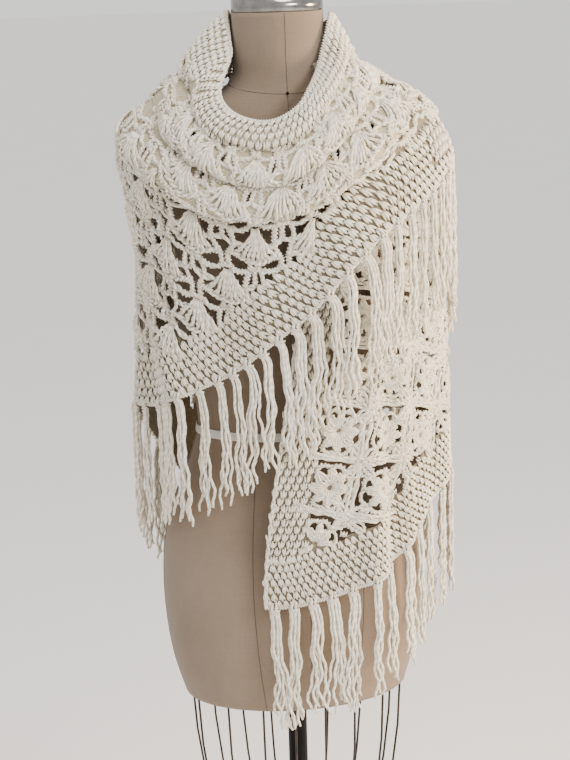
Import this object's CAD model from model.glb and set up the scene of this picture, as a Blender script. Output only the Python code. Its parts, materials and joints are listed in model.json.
"""Looks of the crochet shawl and of the dress form that wears it.

Metres, +Z up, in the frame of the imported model. The shawl is one spiral sheet: azimuths
are degrees about the pole, from the front (-Y) towards +X, and go on past 360 for its
second turn. The level of a place on the sheet is 0 at the rim, 1 and 2 at the creases of
the cowl, 3 at the shoulder line and 4 at the fringed hem.
"""
import json
import math

import bpy
import numpy as np
from mathutils import Matrix, Vector

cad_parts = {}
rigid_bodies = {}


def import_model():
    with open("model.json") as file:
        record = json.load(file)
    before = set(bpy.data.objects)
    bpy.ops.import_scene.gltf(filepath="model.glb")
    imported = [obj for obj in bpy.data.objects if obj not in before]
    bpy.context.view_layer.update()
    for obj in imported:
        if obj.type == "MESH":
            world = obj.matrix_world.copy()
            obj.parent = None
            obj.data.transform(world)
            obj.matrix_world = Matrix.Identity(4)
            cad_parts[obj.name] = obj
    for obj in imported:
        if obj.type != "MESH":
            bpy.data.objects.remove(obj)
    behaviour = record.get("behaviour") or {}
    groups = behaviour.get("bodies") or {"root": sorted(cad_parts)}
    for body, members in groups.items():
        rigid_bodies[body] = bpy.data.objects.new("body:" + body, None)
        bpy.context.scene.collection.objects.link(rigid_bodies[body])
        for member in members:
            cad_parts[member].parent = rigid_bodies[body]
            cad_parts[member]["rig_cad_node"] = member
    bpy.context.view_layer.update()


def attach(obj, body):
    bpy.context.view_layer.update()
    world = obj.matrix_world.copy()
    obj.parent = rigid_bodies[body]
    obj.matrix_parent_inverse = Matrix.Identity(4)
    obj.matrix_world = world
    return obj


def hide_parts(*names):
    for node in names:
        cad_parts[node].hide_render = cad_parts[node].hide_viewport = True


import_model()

# Stand and fringe: heights, sizes and numbers of columns, as in the part
SEAM = 0.0003
TORSO_BOTTOM = 0.652
NECK_TOP = 1.552
CAP_BAND = 0.016
CAP_DOME = 0.016
WAIST_HEIGHT = 1.018
TAPE_WIDTH = 0.011
TAPE_LIFT = 0.0010
TAPE_SWELL = 0.0006
FRONT_COLUMNS = 29
BACK_COLUMNS = 19
PANEL_COLUMNS = 14
THROWN_COLUMNS = 9
FRINGE_LENGTH = 0.160

# Azimuths where stretches start and end, where the front's lace gives way to solid cloth,
# and one that no cloth reaches
UNDER_START = 34
BACK_RIGHT = 95
BACK_LEFT = 235
SHOULDER_SEAM = 437
THROWN_TIP = 497
THROWN_EDGE = 525
PANEL_START = -24
FRONT_SOLID = 396
NOWHERE = 999

# Crochet: widths of the solid borders
FRONT_BORDER = 0.062
HEM_BORDER = 0.067
RIM_BORDER = 0.040
COLLAR_BORDER = 0.060
EDGE_BORDER = 0.052

# Crochet: cells of the solid stitch, points of a strand, cells laid before the first column
# and width laid past the last
CELL_PITCH = 0.0118
CELL_ROW = 0.0111
CELL_JITTER = 0.0005
CELL_STEPS = 4
LEAD_CELLS = 4
SPARE_WIDTH = 0.08

# Crochet: fans, squares and yarn of the lace
FAN_WIDTH = 0.080
COWL_FAN_WIDTH = 0.064
FAN_ROW = 0.054
FAN_RADIUS = 0.044
FAN_POSTS = 8
FAN_SPREAD = 37
FAN_RISE = 0.0035
FAN_TURN = 9
SQUARE = 0.072
SQUARE_LEAN = 14
PETAL = 0.024
PETAL_OFFSETS = (-0.0048, -0.0017, 0.0017, 0.0048)
CHAIN_YARN = 0.0024
POST_YARN = 0.0021
PETAL_YARN = 0.0018
LADDER_YARN = 0.0020
EDGE_YARN = 0.0017
EDGE_PITCH = 0.0075
EDGE_LIFT = 0.0012
FRINGE_EDGE_LIFT = 0.0004
YARN_SIDES = 5
LACE_SIDES = 4
GROUND_CELL = 0.0045
GROUND_LIFT = 0.0006
CLOTH_WALL = 0.0018

# Crochet: radius of a post at its root and its growth to the tip, and of a cell's strand at
# its ends, as shares of the yarn
POST_ROOT = 0.62
POST_GROWTH = 0.45
CELL_END = 0.62

# Crochet: one turn of the plies in posts, in the line round a fan and in chains
POST_PITCH = 0.012
HOOP_PITCH = 0.020
CHAIN_PITCH = 0.009

# Crochet: how far the middle of each kind of line rises, and how far lines differ
HOOP_RISE = 0.0005
PETAL_RISE = 0.0025
CELL_UNEVEN = 0.0002
LACE_UNEVEN = 0.0006

# Crochet: most stretch of a line on the cloth, and the share of it that lies in its zone
MOST_STRETCH = 1.6
CELL_STRETCH = 2.3
KEPT_SHARE = 0.55

# Crochet: solid heart of a square as a share of its petals, and the gap beside a fan of a
# backed fold: along the cloth as a share of the fan's width, down it, its flatness and size
HEART = 0.6
GAP_ALONG = 0.4
GAP_DOWN = 0.012
GAP_FLAT = 0.8
GAP_RADIUS = 0.0055

# Crochet: ground under a fan, from this far past its root to this far short of its rim
FAN_EYE = 0.006
FAN_MARGIN = 0.002

# The lace's random draws start this far past those of the solid stitch
LACE_DRAWS = 50

# Tassels: strands, those that none lacks and the share that has each other one, points and
# radius of a strand, its share of the fringe's length, and the space between strands
TASSEL_STRANDS = 6
SURE_STRANDS = 4
LOOSE_SHARE = 0.6
STRAND_STEPS = 20
STRAND_RADIUS = 0.0019
STRAND_LENGTHS = (0.84, 1.03)
STRAND_SPACE = 0.0020

# Tassels: turns of a strand's own wave and of the one shared by all of a tassel, the size
# of the shared one, how far tassels lean, and how far a strand is drawn square to the hem
OWN_TURNS = (4.0, 6.0)
SHARED_TURNS = (1.2, 2.4)
SWAY = 0.0027
LEAN = 0.005
KNOT_REACH = 0.014

# Knots: yarn of the legs and of the bars, space from the middle to a leg, and each bar's
# fall below the hem and half width
LEG_YARN = 0.00125
BAR_YARN = 0.0013
LEG_SPACE = 0.0026
BARS = ((-0.0035, 0.0058), (-0.0068, 0.0050))

# Grid of a stretch: degrees a column, rows a level, the fewest of each, and the fewest
# cells of its ground either way
GRID_DEGREES = 0.7
GRID_ROWS = 70
LEAST_COLUMNS = 12
LEAST_ROWS = 40
LEAST_CELLS = 8

# Places off the cloth: passes that find a place above the hem, slack at the top line, the
# level given to a place past it, slack in degrees at the sides, the mean radius at which
# degrees from the free edge are turned to metres, and a distance where there is no edge
HEM_PASSES = 4
TOP_SLACK = 0.004
OFF_CLOTH = -9
SIDE_SLACK = 0.05
EDGE_RADIUS = 0.16
NO_EDGE = 9.0

# Hem turns that are worked from the top: first and last azimuth, and the lowest share of
# the border's width
FRONT_TURNS = ((422, 438, 0.35),)
THROWN_TURNS = ((436, 472, 0.35), (488, 525, 0))

# Threads of the finishes: the lay of a ply in yarn, ribs of the ground, threads of linen
# on a form of this mean radius, and ribs of the tape
YARN_LAY = 0.0095
RIB_ALONG = 0.0034
RIB_DOWN = 0.0041
LINEN_THREAD = 0.0011
FORM_RADIUS = 0.15
TAPE_RIB = 0.0016

# How the folds of the cowl hang over their creases: the droop at a crown of ROUND_CROWN,
# the shape of a fold, and how the upright folds grow downwards
DROOP = 0.012
ROUND_CROWN = 0.014
FOLD_SWELL = 1.15
FOLD_LEAN = 1.25
FOLD_FULLNESS = 0.85
GATHER_GROWTH = 0.7

# Camera, from the photo: pixels of height and of focal length, distance and turn about the
# pole, height, and tilt
PHOTO_HEIGHT = 760
FOCAL_PIXELS = 1945
CAMERA_DISTANCE = 2.5
CAMERA_AZIMUTH = -10
CAMERA_SHIFT = -0.0035
CAMERA_HEIGHT = 1.65
CAMERA_PITCH = 13
CAMERA_ROLL = 1.67

# Lights: name, place, size, power and colour, and the height they all aim at
LIGHTS = (
    ("window_front", (1.5, -2.7, 2.6), 1.1, 85, (1.0, 0.96, 0.91)),
    ("lamp_right", (2.5, -0.6, 1.6), 0.8, 125, (1.0, 0.73, 0.42)),
    ("top", (0.3, -0.6, 3.4), 0.8, 26, (1.0, 0.96, 0.91)),
)
LIGHT_AIM = 1.15
SKY_STRENGTH = 1.15
FLOOR_REACH = 40

# Strands of one cell of the solid stitch, in millimetres about its middle, x along the row
# and y across the rows: start x, start y, end x, end y, rise in the middle, radius. They
# are the three posts of one cluster, and a hole is left between clusters.
CELL_STRANDS = (
    (-3.1, -5.0, -2.3, 5.2, 2.0, 1.75),
    (1.0, -7.0, -1.0, 6.2, 2.6, 1.85),
    (5.1, -5.0, 0.3, 5.2, 2.0, 1.75),
)

# Chains of the net between the fans, in millimetres from a fan's apex, x along the cloth
# and y down it: start x, start y, end x, end y, bow
NET_CHAINS = (
    (-8, -1, 8, -1, -0.5),
    (7, 0, 30, 4, 2),
    (73, 0, 50, 4, -2),
    (30, 4, 50, 4, -3),
    (30, 4, 27, 22, 1),
    (50, 4, 53, 22, -1),
    (40, 2, 40, 20, 0),
    (13, 24, 40, 20, 2),
    (67, 24, 40, 20, -2),
    (27, 22, 36, 39, 1),
    (53, 22, 44, 39, -1),
    (23, 41, 36, 39, -1),
    (57, 41, 44, 39, 1),
    (36, 39, 36, 53, 0),
    (44, 39, 44, 53, 0),
    (-5, 45, -7, 55, 0),
    (5, 45, 7, 55, 0),
)

# Dress form: height, half width, depth in front and depth behind of each section
FORM_SECTIONS = (
    (0.652, 0.150, 0.108, 0.112),
    (0.700, 0.164, 0.118, 0.124),
    (0.760, 0.173, 0.124, 0.132),
    (0.820, 0.175, 0.124, 0.134),
    (0.880, 0.169, 0.116, 0.126),
    (0.940, 0.150, 0.103, 0.106),
    (0.985, 0.131, 0.093, 0.090),
    (1.020, 0.122, 0.088, 0.082),
    (1.060, 0.124, 0.090, 0.082),
    (1.120, 0.136, 0.104, 0.090),
    (1.180, 0.147, 0.124, 0.098),
    (1.220, 0.152, 0.128, 0.102),
    (1.270, 0.157, 0.117, 0.106),
    (1.320, 0.165, 0.102, 0.106),
    (1.365, 0.176, 0.086, 0.100),
    (1.395, 0.181, 0.076, 0.092),
    (1.412, 0.172, 0.070, 0.084),
    (1.428, 0.140, 0.064, 0.074),
    (1.442, 0.104, 0.060, 0.066),
    (1.455, 0.074, 0.057, 0.059),
    (1.470, 0.062, 0.055, 0.056),
    (1.500, 0.059, 0.054, 0.054),
    (1.552, 0.0585, 0.053, 0.053),
)

# Shawl: azimuth, radius and height of the rim, of crease 1, of crease 2, of the shoulder
# line and of the hem, and how far the cloth rounds out in each of the four bands between
SHAWL_SECTIONS = (
    # Lower panel, in front on the form's left
    (-26, .062, 1.485, .075, 1.450, .105, 1.420, .150, 1.380, .154, .810, 0, 0, 0, 0),
    (-10, .062, 1.485, .075, 1.450, .105, 1.420, .148, 1.380, .152, .812, 0, 0, 0, 0),
    (5, .062, 1.485, .075, 1.450, .105, 1.420, .141, 1.380, .156, .821, 0, 0, 0, 0),
    (20, .062, 1.485, .075, 1.450, .105, 1.420, .138, 1.382, .165, .833, 0, 0, 0, 0),
    (35, .063, 1.488, .076, 1.452, .105, 1.424, .145, 1.386, .172, .850, 0, 0, 0, 0),
    (50, .064, 1.492, .078, 1.460, .112, 1.430, .163, 1.390, .178, .882, 0, 0, 0, 0),
    (65, .065, 1.497, .081, 1.463, .124, 1.434, .184, 1.392, .194, .915, 0, 0, .002, 0),
    (80, .066, 1.502, .084, 1.465, .136, 1.438, .199, 1.3925, .211, .938, 0, 0, .003, 0),
    # Over the shoulder to the back
    (95, .066, 1.510, .086, 1.466, .140, 1.438, .203, 1.3905, .216, .950, 0, 0, .004, 0),
    (120, .065, 1.522, .088, 1.466, .124, 1.430, .162, 1.382, .190, .895, 0, 0, .004, 0),
    (150, .064, 1.532, .083, 1.459, .107, 1.411, .130, 1.346, .160, .838, 0, 0, .002, 0),
    (180, .064, 1.538, .080, 1.454, .100, 1.402, .118, 1.335, .150, .805, 0, 0, .002, 0),
    (210, .064, 1.543, .086, 1.462, .114, 1.418, .140, 1.355, .166, .860, 0, .002, .004, 0),
    (235, .065, 1.547, .104, 1.482, .142, 1.437, .180, 1.385, .186, .960, .006, .003, .004, -.006),
    # Cowl and front
    (260, .064, 1.549, .124, 1.482, .163, 1.447, .209, 1.401, .201, 1.043, .005, .002, .004, -.012),
    (280, .065, 1.514, .119, 1.456, .158, 1.422, .196, 1.371, .189, 1.060, .010, .007, .009, -.010),
    (290, .070, 1.497, .1245, 1.4405, .159, 1.406, .190, 1.357, .185, 1.070, .010, .0105, .011, -.008),
    (300, .096, 1.465, .130, 1.425, .160, 1.390, .184, 1.343, .181, 1.080, .010, .014, .013, -.006),
    (315, .117, 1.441, .140, 1.405, .159, 1.370, .171, 1.322, .167, 1.102, .010, .015, .014, -.004),
    (330, .127, 1.427, .142, 1.397, .155, 1.356, .162, 1.311, .156, 1.126, .010, .015, .013, -.002),
    (345, .128, 1.424, .141, 1.394, .151, 1.353, .158, 1.311, .156, 1.158, .010, .014, .012, 0),
    (360, .117, 1.438, .136, 1.405, .148, 1.363, .157, 1.319, .163, 1.190, .010, .014, .012, 0),
    (375, .092, 1.462, .119, 1.433, .143, 1.388, .162, 1.335, .178, 1.240, .010, .013, .012, .002),
    (390, .075, 1.479, .104, 1.455, .134, 1.415, .166, 1.361, .187, 1.283, .009, .011, .012, .004),
    (405, .066, 1.497, .093, 1.472, .125, 1.435, .168, 1.390, .193, 1.308, .008, .009, .012, .008),
    (420, .065, 1.523, .088, 1.486, .121, 1.448, .167, 1.412, .201, 1.328, .006, .007, .010, .010),
    (437, .066, 1.546, .092, 1.490, .126, 1.457, .179, 1.427, .214, 1.345, .003, .006, .008, .012),
    # End thrown over the shoulder and down the back
    (455, .070, 1.544, .106, 1.472, .152, 1.454, .208, 1.403, .224, 1.290, .002, .003, .008, .009),
    (470, .074, 1.538, .103, 1.480, .147, 1.451, .198, 1.402, .216, 1.190, .002, .003, .006, .004),
    (485, .075, 1.530, .101, 1.480, .138, 1.444, .176, 1.396, .204, 1.070, .002, .002, .004, .002),
    (495, .076, 1.522, .099, 1.474, .131, 1.436, .164, 1.381, .197, 1.010, .002, .002, .002, .002),
    (503, .077, 1.507, .097, 1.467, .126, 1.428, .156, 1.371, .190, 1.030, .002, .002, .002, .002),
    (515, .080, 1.488, .095, 1.452, .119, 1.414, .143, 1.353, .172, 1.150, .002, .002, .002, .002),
    (525, .084, 1.460, .096, 1.430, .114, 1.393, .132, 1.341, .150, 1.270, .002, .002, .002, .002),
)

# Upright folds below the shoulder line: azimuth at the shoulder line and at the hem, how
# far the cloth stands out, and half width in degrees
GATHERS = (
    (30, 28, 0.012, 6),
    (40, 38, -0.006, 4),
    (47, 47, 0.007, 4),
    (70, 66, -0.007, 6),
    (140, 132, 0.005, 8),
    (176, 168, -0.006, 9),
    (205, 212, 0.009, 9),
    (262, 302, 0.011, 7),
    (250, 284, -0.012, 8),
    (322, 318, -0.004, 6),
    (344, 338, 0.004, 7),
)

# Seams of the form in front and behind: heights, and degrees from the centre seam there
FRONT_SEAM = ((0.652, 1.02, 1.25, 1.33), (30, 36, 40, 50))
BACK_SEAM = ((0.652, 1.02, 1.33), (34, 30, 40))

# Neck seam: height in front and how much higher it is behind, and the size of a pin's head
NECK_SEAM = 1.452
NECK_SEAM_RISE = 0.024
PIN_RADIUS = 0.0021

# Front edge of the lower panel: azimuth from the shoulder line (0) to the hem (1)
PANEL_EDGE = (
    (0.00, 25),
    (0.18, 8),
    (0.36, -4),
    (0.59, -13),
    (0.79, -20),
    (0.90, -23),
    (1.00, -24),
)


def read_between(sections, places):
    """Each column of a table at places between its rows, on a smooth cubic curve."""
    table = np.array(sections, dtype=float)
    known = table[:, 0]
    slopes = np.gradient(table[:, 1:], known, axis=0)
    places = np.clip(places, known[0], known[-1])
    row = np.clip(np.searchsorted(known, places) - 1, 0, len(known) - 2)
    span = known[row + 1] - known[row]
    t = ((places - known[row]) / span)[..., None]
    span = span[..., None]
    here, there = table[row, 1:], table[row + 1, 1:]
    return (
        here * (2 * t**3 - 3 * t**2 + 1)
        + there * (3 * t**2 - 2 * t**3)
        + slopes[row] * span * (t**3 - 2 * t**2 + t)
        + slopes[row + 1] * span * (t**3 - t**2)
    )


def form_radius(azimuth, height):
    """Distance of the dress form's skin from the pole: an ellipse with its own depth
    in front and behind."""
    half_width, front, back = np.moveaxis(read_between(FORM_SECTIONS, height), -1, 0)
    angle = np.radians(azimuth)
    depth = np.where(np.cos(angle) > 0, front, back)
    return 1.0 / np.hypot(np.sin(angle) / half_width, np.cos(angle) / depth)


def on_azimuth(azimuth, radius, height):
    """The point at a radius and height on an azimuth."""
    azimuth, radius, height = np.broadcast_arrays(azimuth, radius, height)
    angle = np.radians(azimuth)
    return np.stack([radius * np.sin(angle), -radius * np.cos(angle), height], axis=-1)


def gather_rise(azimuth, drop):
    """How far the upright folds stand out. They grow from the shoulder line (drop 0)
    to the hem (drop 1), each a bell curve about its own line."""
    rise = np.zeros(np.shape(azimuth))
    for above, below, height, half_width in GATHERS:
        line = above + (below - above) * drop
        rise = rise + height * np.exp(-(((azimuth - line) / half_width) ** 2))
    return rise * np.clip(drop, 0, 1) ** GATHER_GROWTH


def cloth_point(azimuth, level):
    """A point of the sheet's outer face. Between two lines the cloth follows the straight
    chord, plus its crown times a sine of the way along it. In the folds of the cowl the
    sine leans towards the lower crease and the cloth also slides down by its droop, so
    each fold hangs over the next one."""
    azimuth, level = np.broadcast_arrays(np.asarray(azimuth, float), np.asarray(level, float))
    columns = read_between(SHAWL_SECTIONS, azimuth)
    band = np.clip(np.floor(level).astype(int), 0, 3)
    along = np.clip(level - band, 0, 1)

    def pick(first, step):
        """The section's number at first, moved on by step for each band above the place."""
        return np.take_along_axis(columns, (first + step * band)[..., None], axis=-1)[..., 0]

    radius_step = pick(2, 2) - pick(0, 2)
    height_step = pick(3, 2) - pick(1, 2)
    chord = np.hypot(radius_step, height_step)
    in_fold = band < 3
    fold = FOLD_SWELL * np.sin(np.pi * along**FOLD_LEAN) ** FOLD_FULLNESS
    bulge = np.where(in_fold, fold, np.sin(np.pi * along))
    crown = pick(10, 1) * bulge / chord
    droop = DROOP * np.clip(pick(10, 1) / ROUND_CROWN, 0, 1)
    slide = along + np.where(in_fold, droop / chord * np.sin(np.pi * along**2), 0)
    radius = pick(0, 2) + slide * radius_step - crown * height_step
    height = pick(1, 2) + slide * height_step + crown * radius_step
    radius = radius + gather_rise(azimuth, np.clip(level - 3, 0, 1))
    return on_azimuth(azimuth, radius, height)


def unit(vectors):
    """The same directions at length 1."""
    return vectors / np.maximum(np.linalg.norm(vectors, axis=-1, keepdims=True), 1e-9)


def running_length(points):
    """Distance run along each line of points, from 0 at its first point."""
    steps = np.linalg.norm(np.diff(points, axis=-2), axis=-1)
    start = np.zeros(steps.shape[:-1] + (1,))
    return np.concatenate([start, np.cumsum(steps, axis=-1)], axis=-1)


def read_grid(grid, row, column):
    """A grid's values at places between its rows and columns, by straight interpolation."""
    row = np.clip(row, 0, grid.shape[0] - 1.001)
    column = np.clip(column, 0, grid.shape[1] - 1.001)
    above, left = row.astype(int), column.astype(int)
    down, right = row - above, column - left
    if grid.ndim == 3:
        down, right = down[..., None], right[..., None]
    return (
        grid[above, left] * (1 - down) * (1 - right)
        + grid[above, left + 1] * (1 - down) * right
        + grid[above + 1, left] * down * (1 - right)
        + grid[above + 1, left + 1] * down * right
    )


class Stretch:
    """A stretch of the sheet as a fine grid of places and outward directions, rows running
    down the cloth, with flat distances along it and down it."""

    def __init__(self, first, last, top, bottom, edge=None, far_edge=False):
        self.first, self.last, self.top, self.bottom = first, last, top, bottom
        self.edge, self.far_edge = edge, far_edge
        self.has_hem = bottom == 4
        columns = max(int((last - first) / GRID_DEGREES), LEAST_COLUMNS)
        rows = max(int((bottom - top) * GRID_ROWS), LEAST_ROWS)
        self.azimuths = np.linspace(first, last, columns)
        self.levels = np.linspace(top, bottom, rows)
        azimuth, level = np.meshgrid(self.azimuths, self.levels)
        self.places = cloth_point(azimuth, level)
        across = np.gradient(self.places, axis=1)
        down = np.gradient(self.places, axis=0)
        self.outward = unit(np.cross(down, across))
        self.down = running_length(self.places.swapaxes(0, 1)).T
        self.total = self.down[-1]
        self.along = running_length(self.places[rows // 2][None])[0]
        hem = self.places[-1]
        self.along_hem = running_length(hem[None])[0]
        rise = np.gradient(hem[:, 2])
        run = np.hypot(np.gradient(hem[:, 0]), np.gradient(hem[:, 1]))
        self.slope = np.arctan2(rise, run)
        self.steps = np.linspace(0, self.down.max(), rows)
        self.level_at = np.stack(
            [np.interp(self.steps, self.down[:, k], self.levels) for k in range(columns)], axis=1
        )

    def indices(self, azimuth, level):
        """Row and column of the grid at an azimuth and level."""
        row = (level - self.top) / (self.bottom - self.top) * (len(self.levels) - 1)
        column = (azimuth - self.first) / (self.last - self.first) * (len(self.azimuths) - 1)
        return row, column

    def lay(self, azimuth, level, lift=0.0):
        """Points of the cloth at azimuths and levels, raised square to it, and the
        outward directions there."""
        row, column = self.indices(azimuth, level)
        outward = unit(read_grid(self.outward, row, column))
        lift = np.broadcast_to(lift, np.shape(azimuth))[..., None]
        return read_grid(self.places, row, column) + lift * outward, outward

    def level_down(self, azimuth, down):
        """The level at a distance down the cloth from its top line."""
        _, column = self.indices(azimuth, self.top)
        row = down / self.steps[-1] * (len(self.steps) - 1)
        return read_grid(self.level_at, row, column)

    def from_top(self, along, down):
        """Azimuth and level of places measured along the cloth and down from its top."""
        azimuth = np.interp(along, self.along, self.azimuths)
        return azimuth, self.level_down(azimuth, down)

    def from_hem(self, along, up):
        """Azimuth and level of places measured along the hem and square to it. The
        azimuth is found by going back along the hem by the rise times its slope."""
        azimuth = np.interp(along, self.along_hem, self.azimuths)
        for _ in range(HEM_PASSES):
            slope = np.interp(azimuth, self.azimuths, self.slope)
            azimuth = np.interp(along - up * np.tan(slope), self.along_hem, self.azimuths)
        slope = np.interp(azimuth, self.azimuths, self.slope)
        down = np.interp(azimuth, self.azimuths, self.total) - up / np.cos(slope)
        return azimuth, np.where(down > -TOP_SLACK, self.level_down(azimuth, down), OFF_CLOTH)

    def to_hem(self, azimuth, level):
        """Distance to the hem, square to it."""
        row, column = self.indices(azimuth, level)
        down = read_grid(self.down, row, column)
        slope = np.interp(azimuth, self.azimuths, self.slope)
        return (np.interp(azimuth, self.azimuths, self.total) - down) * np.cos(slope)

    def to_rim(self, azimuth, level):
        """Distance down the cloth from its top line."""
        return read_grid(self.down, *self.indices(azimuth, level))

    def to_edge(self, azimuth, level):
        """Distance to the free upright edge, if the stretch has one."""
        if self.edge is not None:
            gap = azimuth - np.interp(level, *self.edge)
        elif self.far_edge:
            gap = self.last - azimuth
        else:
            return np.full(np.shape(azimuth), NO_EDGE)
        return np.radians(gap) * EDGE_RADIUS


def feed(tree, entry, value):
    """Links a socket to a shade, or sets it to a constant."""
    if isinstance(value, Shade):
        tree.links.new(value.socket, entry)
    else:
        entry.default_value = value


class Shade:
    """A shader socket, or a group of them, that can be added, multiplied and so on: each
    sign makes one Math node."""

    def __init__(self, tree, socket):
        self.tree, self.socket = tree, socket

    def _math(self, operation, *values):
        """One Math node, with the values in its entries in their order."""
        node = self.tree.nodes.new("ShaderNodeMath")
        node.operation = operation
        for value, entry in zip(values, node.inputs):
            feed(self.tree, entry, value)
        return Shade(self.tree, node.outputs[0])

    def __add__(self, other):
        return self._math("ADD", self, other)

    def __radd__(self, other):
        return self._math("ADD", other, self)

    def __sub__(self, other):
        return self._math("SUBTRACT", self, other)

    def __rsub__(self, other):
        return self._math("SUBTRACT", other, self)

    def __mul__(self, other):
        return self._math("MULTIPLY", self, other)

    def __rmul__(self, other):
        return self._math("MULTIPLY", other, self)

    def __truediv__(self, other):
        return self._math("DIVIDE", self, other)

    def __rtruediv__(self, other):
        return self._math("DIVIDE", other, self)

    def angle_to(self, other):
        """The angle whose tangent is this over the other."""
        return self._math("ARCTAN2", self, other)

    def wave(self):
        """Sine, from 0 to 1."""
        return self._math("SINE", self) * 0.5 + 0.5

    def ramp(self, low, high):
        """0 below low, 1 above high, smooth between."""
        node = self.tree.nodes.new("ShaderNodeMapRange")
        node.interpolation_type = "SMOOTHSTEP"
        self.tree.links.new(self.socket, node.inputs["Value"])
        node.inputs["From Min"].default_value = low
        node.inputs["From Max"].default_value = high
        return Shade(self.tree, node.outputs["Result"])


class Finish:
    """A material under construction: its node tree and its Principled shader."""

    def __init__(self, name, roughness, **constants):
        self.made = bpy.data.materials.new(name)
        self.made.use_nodes = True
        self.tree = self.made.node_tree
        self.shader = self.tree.nodes["Principled BSDF"]
        self.shader.inputs["Roughness"].default_value = roughness
        for socket, value in constants.items():
            self.shader.inputs[socket.replace("_", " ")].default_value = value

    def node(self, kind, output, settings=None, **entries):
        """Any other node: its settings, its entries by name, and the output wanted."""
        node = self.tree.nodes.new(kind)
        for key, value in (settings or {}).items():
            setattr(node, key, value)
        for key, value in entries.items():
            feed(self.tree, node.inputs[key.replace("_", " ")], value)
        return Shade(self.tree, node.outputs[output])

    def position(self):
        """The place on the piece."""
        return self.node("ShaderNodeTexCoord", "Object")

    def parts(self, vector):
        """The X, Y and Z of a vector."""
        split = self.tree.nodes.new("ShaderNodeSeparateXYZ")
        self.tree.links.new(vector.socket, split.inputs[0])
        return [Shade(self.tree, output) for output in split.outputs]

    def noise(self, vector, scale, detail=3.0):
        """Soft noise about 0.5, in patches of about 1 / scale."""
        return self.node(
            "ShaderNodeTexNoise", "Fac", Vector=vector, Scale=scale, Detail=detail, Roughness=0.55
        )

    def mix(self, share, first, second):
        """A colour between two others."""
        node = self.tree.nodes.new("ShaderNodeMix")
        node.data_type = "RGBA"
        entries = {entry.identifier: entry for entry in node.inputs}
        feed(self.tree, entries["Factor_Float"], share)
        for name, value in (("A_Color", first), ("B_Color", second)):
            feed(self.tree, entries[name], value if isinstance(value, Shade) else (*value, 1.0))
        result = next(o for o in node.outputs if o.identifier == "Result_Color")
        return Shade(self.tree, result)

    def colour(self, value):
        """Sets the colour of the surface."""
        feed(self.tree, self.shader.inputs["Base Color"], value)

    def bump(self, height, distance, strength):
        """Adds relief. Returns the finish, for its material."""
        relief = self.node(
            "ShaderNodeBump", "Normal", Strength=strength, Distance=distance, Height=height
        )
        feed(self.tree, self.shader.inputs["Normal"], relief)
        return self


def yarn_finish():
    """Ivory wool yarn. Its plies are stripes that wind round each strand: the UV map has
    the way round in x and the length run in y."""
    finish = Finish("ivory_wool_yarn", 0.86, Sheen_Weight=0.3, Sheen_Roughness=0.5)
    around, length, _ = finish.parts(finish.node("ShaderNodeUVMap", "UV", {"uv_map": "strand"}))
    place = finish.position()
    ply = ((around * 2 + length / YARN_LAY) * math.tau).wave()
    fibre = finish.noise(place, 1400, 2.0)
    patch = finish.noise(place, 14, 3.0).ramp(0.35, 0.68)
    light = finish.mix(patch, (0.80, 0.74, 0.62), (0.88, 0.83, 0.73))
    groove = (ply * 0.75 + fibre * 0.5).ramp(0.12, 0.62)
    finish.colour(finish.mix(groove, (0.58, 0.51, 0.39), light))
    return finish.bump(ply * 0.8 + fibre * 0.5, 0.0005, 0.65).made


def ground_finish(name, deep, light):
    """The yarn behind the stitches, darker because it lies deep. Fine ribs follow the rows
    by the UV map, which holds distances along and down the cloth in metres."""
    finish = Finish(name, 0.92, Sheen_Weight=0.2, Sheen_Roughness=0.5)
    along, down, _ = finish.parts(finish.node("ShaderNodeUVMap", "UV", {"uv_map": "cloth"}))
    rib = (along * (math.tau / RIB_ALONG) + down * (math.tau / RIB_DOWN)).wave()
    rough = finish.noise(finish.position(), 420, 3.0)
    strand = (rib * 0.2 + rough * 0.9).ramp(0.3, 0.75)
    finish.colour(finish.mix(strand, deep, light))
    return finish.bump(rib * 0.3 + rough, 0.0008, 0.8).made


def linen_finish():
    """Natural linen stretched over the form: an over and under weave of two sets of
    threads, slubs along them, and soft stains."""
    finish = Finish("natural_linen", 0.88, Sheen_Weight=0.15, Sheen_Roughness=0.6)
    place = finish.position()
    x, y, z = finish.parts(place)
    warp = (x.angle_to(y) * (FORM_RADIUS * math.tau / LINEN_THREAD)).wave()
    weft = (z * (math.tau / LINEN_THREAD)).wave()
    stretched = finish.node("ShaderNodeMapping", 0, Vector=place, Scale=(60, 60, 900))
    slub = finish.noise(stretched, 1.0, 2.0)
    upright = finish.node("ShaderNodeMapping", 0, Vector=place, Scale=(700, 700, 40))
    slub_up = finish.noise(upright, 1.0, 2.0)
    stain = finish.noise(place, 7, 4.0).ramp(0.3, 0.75)
    base = finish.mix(stain, (0.195, 0.138, 0.092), (0.245, 0.180, 0.125))
    thread = (slub * 0.5 + slub_up * 0.5 + warp * weft * 0.25).ramp(0.35, 0.75)
    finish.colour(finish.mix(thread, finish.mix(0.25, base, (0.12, 0.085, 0.056)), base))
    return finish.bump(warp * 0.4 + weft * 0.4 + slub + slub_up, 0.0004, 0.55).made


def thread_finish():
    """Brown sewing thread of the form's seams."""
    finish = Finish("brown_seam_thread", 0.8)
    grain = finish.noise(finish.position(), 900, 2.0)
    finish.colour(finish.mix(grain, (0.055, 0.038, 0.028), (0.09, 0.065, 0.048)))
    return finish.bump(grain, 0.0002, 0.5).made


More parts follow.
